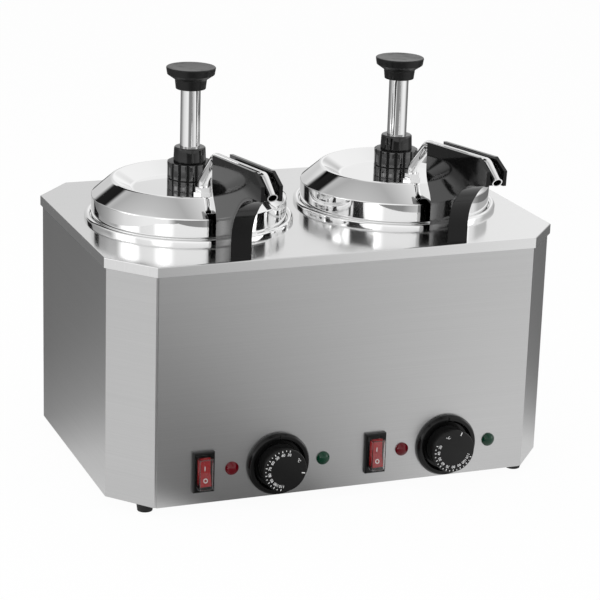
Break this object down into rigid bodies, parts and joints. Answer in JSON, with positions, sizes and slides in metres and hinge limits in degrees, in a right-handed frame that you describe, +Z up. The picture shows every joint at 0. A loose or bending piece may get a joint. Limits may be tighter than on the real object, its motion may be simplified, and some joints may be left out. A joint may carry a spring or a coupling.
{
  "type": "twin hot fudge topping warmer",
  "caption": "Twin countertop topping warmer: steel cabinet with lift-out jars, domed lids, push pumps, heated spouts, dials and rocker switches.",
  "frame": {"origin": "on the table plane under the middle of the whole outline, spouts included; the middle of the cabinet is 36.6 mm behind it", "axes": "+X to the viewer's right, +Y to the back, +Z up; the spouts point along -Y"},
  "size_m": [0.45, 0.3878, 0.389],
  "materials": {
    "satin_steel": "fine horizontal satin grain",
    "polished_steel": "mirror polished",
    "bright_tube": "bright drawn tube",
    "gloss_black": "glossy black",
    "satin_black": "satin black",
    "black_coat": "satin black coat on metal",
    "rubber": "matt",
    "seal": "pale food-grade rubber",
    "red_lens": "clear red",
    "green_lens": "clear green",
    "red_rocker": "lit red",
    "clear_cover": "clear",
    "zinc_steel": "zinc plated",
    "spring_steel": "bright drawn wire",
    "heater_band": "mica band in a steel jacket",
    "insulation": "glass fibre",
    "aluminium": "plain",
    "wire": "wire cover"
  },
  "bodies": {
    "cabinet": {"top_plate": "satin_steel", "side_shell_left": "satin_steel", "side_shell_right": "satin_steel", "front_panel": "satin_steel", "back_panel": "satin_steel", "bottom_plate": "zinc_steel", "rubber_feet": "rubber", "foot_screws": "zinc_steel", "power_inlet": "satin_black", "terminal_block": "satin_black", "wiring": "wire", "cabinet_fasteners": "zinc_steel", "thermostats": "zinc_steel", "well_heaters": "heater_band", "well_insulation": "insulation", "spout_heaters": "aluminium", "well_left": "polished_steel", "well_right": "polished_steel", "spout_channel_left": "black_coat", "spout_channel_right": "black_coat", "spout_arm_left": "black_coat", "spout_arm_right": "black_coat", "dial_bezel_left": "gloss_black", "dial_bezel_right": "gloss_black", "switch_housing_left": "satin_black", "switch_housing_right": "satin_black", "switch_cover_left": "clear_cover", "switch_cover_right": "clear_cover", "red_lamp_left": "red_lens", "red_lamp_right": "red_lens", "green_lamp_left": "green_lens", "green_lamp_right": "green_lens"},
    "jar_left": {"jar_left": "satin_steel"},
    "jar_right": {"jar_right": "satin_steel"},
    "lid_left": {"lid_left": "polished_steel", "pump_nut_left": "gloss_black", "pump_collar_left": "gloss_black", "pump_cylinder_left": "bright_tube", "foot_valve_left": "bright_tube", "tube_union_left": "polished_steel", "discharge_tube_left": "bright_tube", "plunger_spring_left": "spring_steel"},
    "lid_right": {"lid_right": "polished_steel", "pump_nut_right": "gloss_black", "pump_collar_right": "gloss_black", "pump_cylinder_right": "bright_tube", "foot_valve_right": "bright_tube", "tube_union_right": "polished_steel", "discharge_tube_right": "bright_tube", "plunger_spring_right": "spring_steel"},
    "plunger_left": {"plunger_tube_left": "bright_tube", "plunger_knob_left": "satin_black", "piston_seal_left": "seal"},
    "plunger_right": {"plunger_tube_right": "bright_tube", "plunger_knob_right": "satin_black", "piston_seal_right": "seal"},
    "dial_left": {"dial_knob_left": "satin_black"},
    "dial_right": {"dial_knob_right": "satin_black"},
    "rocker_left": {"rocker_left": "red_rocker"},
    "rocker_right": {"rocker_right": "red_rocker"}
  },
  "joints": [
    {"name": "jar_lift_left", "type": "slide", "parent": "cabinet", "child": "jar_left", "axis": [0, 0, 1], "range_m": [0, 0.175]},
    {"name": "lid_lift_left", "type": "slide", "parent": "jar_left", "child": "lid_left", "axis": [0, 0, 1], "range_m": [0, 0.19]},
    {"name": "plunger_press_left", "type": "slide", "parent": "lid_left", "child": "plunger_left", "axis": [0, 0, -1], "range_m": [0, 0.042], "stiffness_N_per_m": 300, "springref_m": -0.03, "deforming": ["plunger_spring_left"]},
    {"name": "dial_turn_left", "type": "hinge", "parent": "cabinet", "child": "dial_left", "pos_m": [-0.0674, -0.11774, 0.0413], "axis": [0, -1, 0], "range_deg": [-168, 102]},
    {"name": "rocker_tip_left", "type": "hinge", "parent": "cabinet", "child": "rocker_left", "pos_m": [-0.1412, -0.11994, 0.0413], "axis": [1, 0, 0], "range_deg": [0, 16]},
    {"name": "jar_lift_right", "type": "slide", "parent": "cabinet", "child": "jar_right", "axis": [0, 0, 1], "range_m": [0, 0.175]},
    {"name": "lid_lift_right", "type": "slide", "parent": "jar_right", "child": "lid_right", "axis": [0, 0, 1], "range_m": [0, 0.19]},
    {"name": "plunger_press_right", "type": "slide", "parent": "lid_right", "child": "plunger_right", "axis": [0, 0, -1], "range_m": [0, 0.042], "stiffness_N_per_m": 300, "springref_m": -0.03, "deforming": ["plunger_spring_right"]},
    {"name": "dial_turn_right", "type": "hinge", "parent": "cabinet", "child": "dial_right", "pos_m": [0.1045, -0.11774, 0.0413], "axis": [0, -1, 0], "range_deg": [-248, 22]},
    {"name": "rocker_tip_right", "type": "hinge", "parent": "cabinet", "child": "rocker_right", "pos_m": [0.0307, -0.11994, 0.0413], "axis": [1, 0, 0], "range_deg": [0, 16]}
  ]
}
